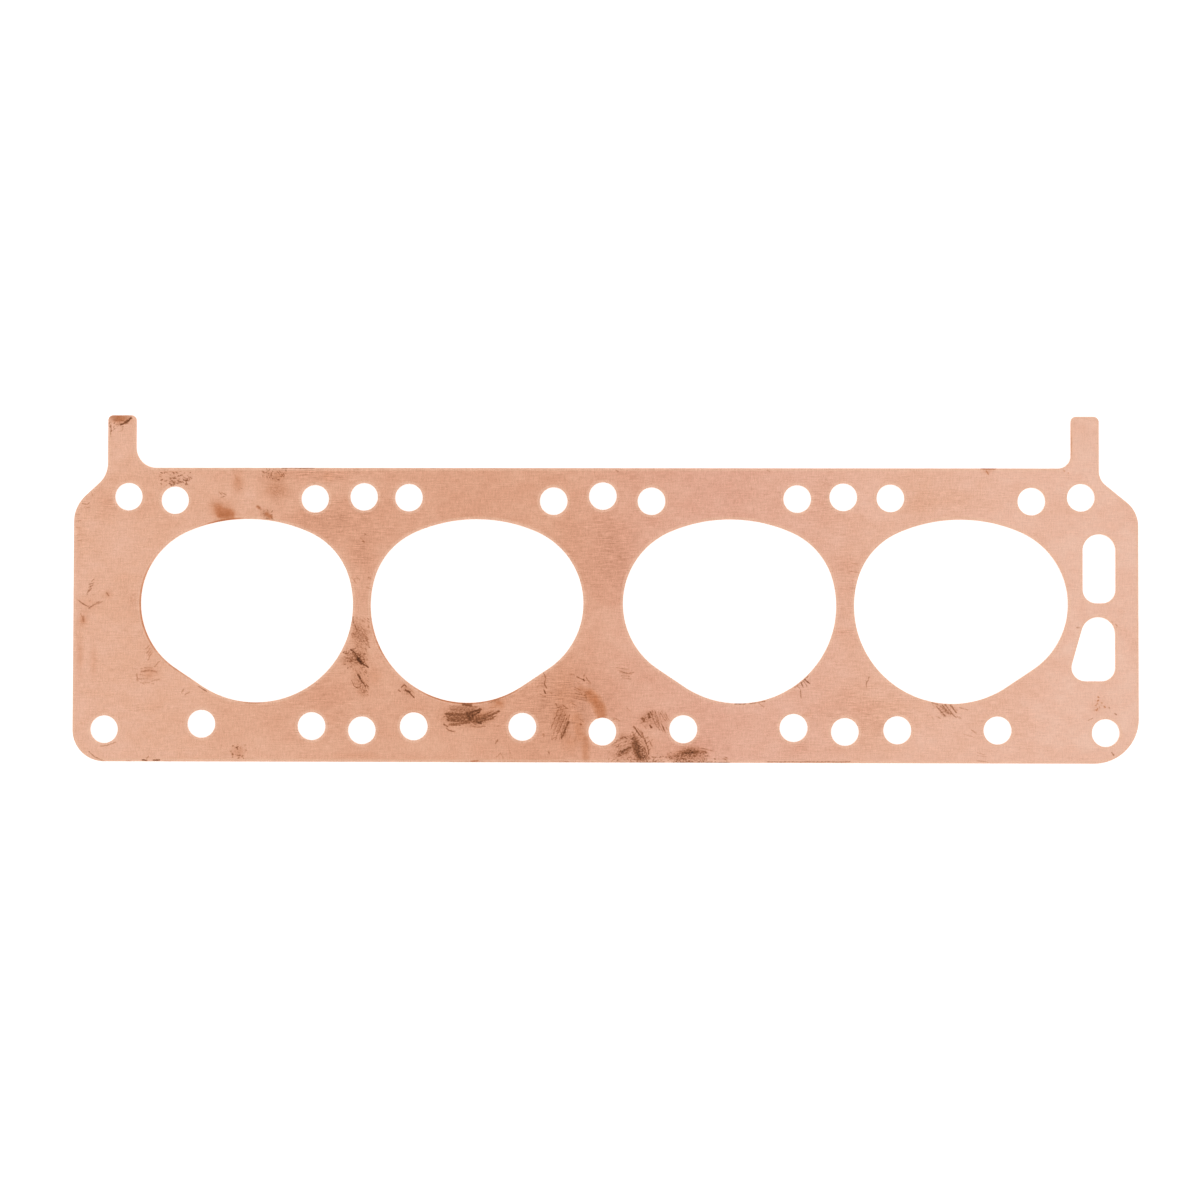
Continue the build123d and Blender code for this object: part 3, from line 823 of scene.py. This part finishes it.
# Each grain: the length in mm of its features along X and along Y, how many finer layers
# it has, and how strong they are. The rolling lines are about 0.2 mm apart, drawn 0.42 mm
# apart so that they show, and so is the grit of polishing.
grains = {
    "rolling": (5, 0.42, 4, 0.7),
    "crosshatch": (0.45, 3, 3, 0.7),
    "grit": (0.42, 0.42, 2, 0.6),
    "specks": (0.8, 0.6, 4, 0.7),
    "damp spots": (2.2, 1.8, 4, 0.7),
    "patches": (8, 6, 5, 0.7),
    "broad patches": (45, 28, 2, 0.6),
}
grain = {}
for name, (along, across, layers, strength) in grains.items():
    scale = (1 / (along * MM), 1 / (across * MM), 1)
    sized = add("Mapping", {"Vector": place, "Scale": scale})[0]
    noise = {"Vector": sized, "Scale": 1.0, "Detail": layers, "Roughness": strength}
    grain[name] = add("TexNoise", noise)["Fac"]

# Tone of the clean metal, from dark to pale, and its colour, pinker past mid length. The tone is
# partly random patches of the metal and partly painted shade and sheen. Each part moves the tone
# by its share of how far it is from its own middle.
tone_and_shading = marks["pale_sheen"]
for value, middle, share in (
    (grain["patches"], 0.5, 0.5),
    (grain["broad patches"], 0.5, 0.6),
    (marks["shade_and_sheen"], 0, -0.45),
):
    part = add("Math", {0: value, 1: middle}, operation="SUBTRACT")[0]
    tone_and_shading = add("Math", {0: part, 1: share, 2: tone_and_shading}, operation="MULTIPLY_ADD")[0]
tone_steps = 0, 0.35, 0.6, 0.85, 1
oranges = "CD9376", "DAA184", "E2AE92", "E8B8A0", "EBC0AA"
pinks = "CD937E", "DAA08E", "E2AD9C", "E8B8A8", "EBC0B0"
orange = add("ValToRGB", {"Fac": tone_and_shading}, list(zip(tone_steps, oranges)))[0]
pink = add("ValToRGB", {"Fac": tone_and_shading}, list(zip(tone_steps, pinks)))[0]
clean = add("Mix", {0: marks["pink"], mix_from: orange, mix_to: pink}, data_type="RGBA")[mixed]
# A paler band along every edge, mixed into the colour: a painted highlight
rim_highlight_colour = linear("EABDA2")
rim_highlight_share = add("Math", {0: marks["rim_highlight"], 1: 0.6}, operation="MULTIPLY")[0]
highlighted = {0: rim_highlight_share, mix_from: clean, mix_to: rim_highlight_colour}
metal = add("Mix", highlighted, data_type="RGBA")[mixed]

# Tarnish from damp, a thin orange to brown oxide patchy like the water that made it, and the
# darker line along some edges
spots = {"Value": grain["damp spots"], "From Min": 0.3, "From Max": 0.6, "To Min": 0.65}
patchy = add("MapRange", spots)[0]
damp_and_edge_line = add("Math", {0: marks["tarnish_and_edge_line"], 1: patchy}, operation="MULTIPLY")[0]
damp_stops = ((0, "DA9E7E"), (0.35, "CE8E6B"), (0.65, "C27D58"), (1, "AE683F"))
oxide = add("ValToRGB", {"Fac": damp_and_edge_line}, damp_stops)[0]
share = add("MapRange", {"Value": damp_and_edge_line, "From Min": mark_shows, "From Max": mark_full})[0]
stained = add("Mix", {0: share, mix_from: metal, mix_to: oxide}, data_type="RGBA")[mixed]

# Soot and oil. Scratches hold it, by their depth * (0.5 + 0.4 * rolling + 0.5 * specks), and
# elsewhere it breaks up over the rolling lines, by its depth * (0.5 * rolling + 1.1 * specks).
specks = add("MapRange", {"Value": grain["specks"], "From Min": 0.41, "From Max": 0.58})[0]
held = add("Math", {0: grain["rolling"], 1: 0.4, 2: 0.5}, operation="MULTIPLY_ADD")[0]
held = add("Math", {0: specks, 1: 0.5, 2: held}, operation="MULTIPLY_ADD")[0]
held = add("Math", {0: held, 1: marks["scratches"]}, operation="MULTIPLY")[0]
loose = add("Math", {0: grain["rolling"], 1: 0.5}, operation="MULTIPLY")[0]
loose = add("Math", {0: specks, 1: 1.1, 2: loose}, operation="MULTIPLY_ADD")[0]
loose = add("Math", {0: loose, 1: marks["soot"]}, operation="MULTIPLY")[0]
dirt = add("Math", {0: loose, 1: held}, operation="MAXIMUM")[0]
dirt_stops = ((0, "C17C54"), (0.4, "9F6341"), (0.7, "78482E"), (1, "45200E"))
brown = add("ValToRGB", {"Fac": dirt}, dirt_stops)[0]
cover = {"Value": dirt, "From Min": mark_shows, "From Max": mark_full, "To Max": 0.94}
share = add("MapRange", cover)[0]
soiled = add("Mix", {0: share, mix_from: stained, mix_to: brown}, data_type="RGBA")[mixed]

# The grain darkens and reddens the hollows. Its lines are stronger in the patches of painted
# shade, and all of it is fainter where the sheet is painted paler.
hollow_tint = 0.9, 1.15, 1.35  # how much of the grain the red, green and blue take
lined = add("Math", {0: marks["shade_and_sheen"], 1: 1.3, 2: 0.6}, operation="MULTIPLY_ADD")[0]
hollows = 0.0
for name, share in (("rolling", lined), ("crosshatch", 0.5), ("grit", 0.5)):
    part = add("Math", {0: grain[name], 1: 0.5}, operation="SUBTRACT")[0]
    hollows = add("Math", {0: part, 1: share, 2: hollows}, operation="MULTIPLY_ADD")[0]
faint = add("Math", {0: tone_and_shading, 1: -0.8, 2: 1.4}, operation="MULTIPLY_ADD")[0]
hollows = add("Math", {0: hollows, 1: faint}, operation="MULTIPLY")[0]
hollows = add("CombineXYZ", {0: hollows, 1: hollows, 2: hollows})[0]
tinted = {0: hollows, 1: hollow_tint, 2: (1, 1, 1)}
hollows = add("VectorMath", tinted, operation="MULTIPLY_ADD")[0]
colour = add("VectorMath", {0: soiled, 1: hollows}, operation="MULTIPLY")[0]

# Satin where clean, duller where stained or dirty
roughness = 0.30
for value, share in ((grain["rolling"], 0.16), (damp_and_edge_line, 0.15), (dirt, 0.3)):
    roughness = add("Math", {0: value, 1: share, 2: roughness}, operation="MULTIPLY_ADD")[0]
relief = add("Math", {0: grain["rolling"], 1: grain["crosshatch"]}, operation="ADD")[0]
relief_height = 0.02 * MM
lines = add("Bump", {"Strength": 0.25, "Distance": relief_height, "Height": relief})[0]
shader = tree.nodes["Principled BSDF"]
tree.links.new(colour, shader.inputs["Base Color"])
tree.links.new(roughness, shader.inputs["Roughness"])
tree.links.new(lines, shader.inputs["Normal"])
shader.inputs["Metallic"].default_value = 1.0
sheet_mesh.materials.append(copper)

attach(gasket_sheet, "root")
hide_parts("head_gasket")

# ---------------------------------------------------------------------------------
# Floor, light and camera
# A plain sheet of white paper, lit softly and evenly from all round as in a light tent,
# so that the copper shows its own colour. The camera looks down on it almost squarely.
# ---------------------------------------------------------------------------------

floor_half = 3.0  # metres from the middle to each side
floor_height = -0.01 * MM  # a hair below the sheet, so that the two faces stay apart
sides = (-1, -1), (1, -1), (1, 1), (-1, 1)
floor_mesh = bpy.data.meshes.new("floor")
corners = [(x * floor_half, y * floor_half, floor_height) for x, y in sides]
floor_mesh.from_pydata(corners, [], [(0, 1, 2, 3)])
floor = bpy.data.objects.new("floor", floor_mesh)
bpy.context.collection.objects.link(floor)
paper = bpy.data.materials.new("white_paper")
paper.use_nodes = True
paper_inputs = paper.node_tree.nodes["Principled BSDF"].inputs
paper_inputs["Base Color"].default_value = linear("FFFFFF")
paper_inputs["Roughness"].default_value = 1.0
# Its glow stands for the light that the tent's walls and the paper send back and forth
paper_inputs["Emission Color"].default_value = linear("FFFFFF")
paper_inputs["Emission Strength"].default_value = 0.35
floor_mesh.materials.append(paper)

scene = bpy.context.scene
scene.view_settings.view_transform = "Standard"
scene.world = bpy.data.worlds.new("light_tent")
scene.world.use_nodes = True
background_inputs = scene.world.node_tree.nodes["Background"].inputs
background_inputs["Color"].default_value = linear("FFFFFF")
background_inputs["Strength"].default_value = 1.0

# The camera hangs 1.17 m over the sheet, beside its middle, and leans back to it by 2 degrees
camera_place = 0.01934, -0.03343, 1.17006
camera_turns = 1.747, 1.004, 0.124  # about X, Y and Z, in degrees
camera = bpy.data.objects.new("camera", bpy.data.cameras.new("camera"))
camera.data.lens = 90
camera.data.sensor_width = 36
camera.location = camera_place
camera.rotation_euler = list(map(radians, camera_turns))
bpy.context.collection.objects.link(camera)
scene.camera = camera
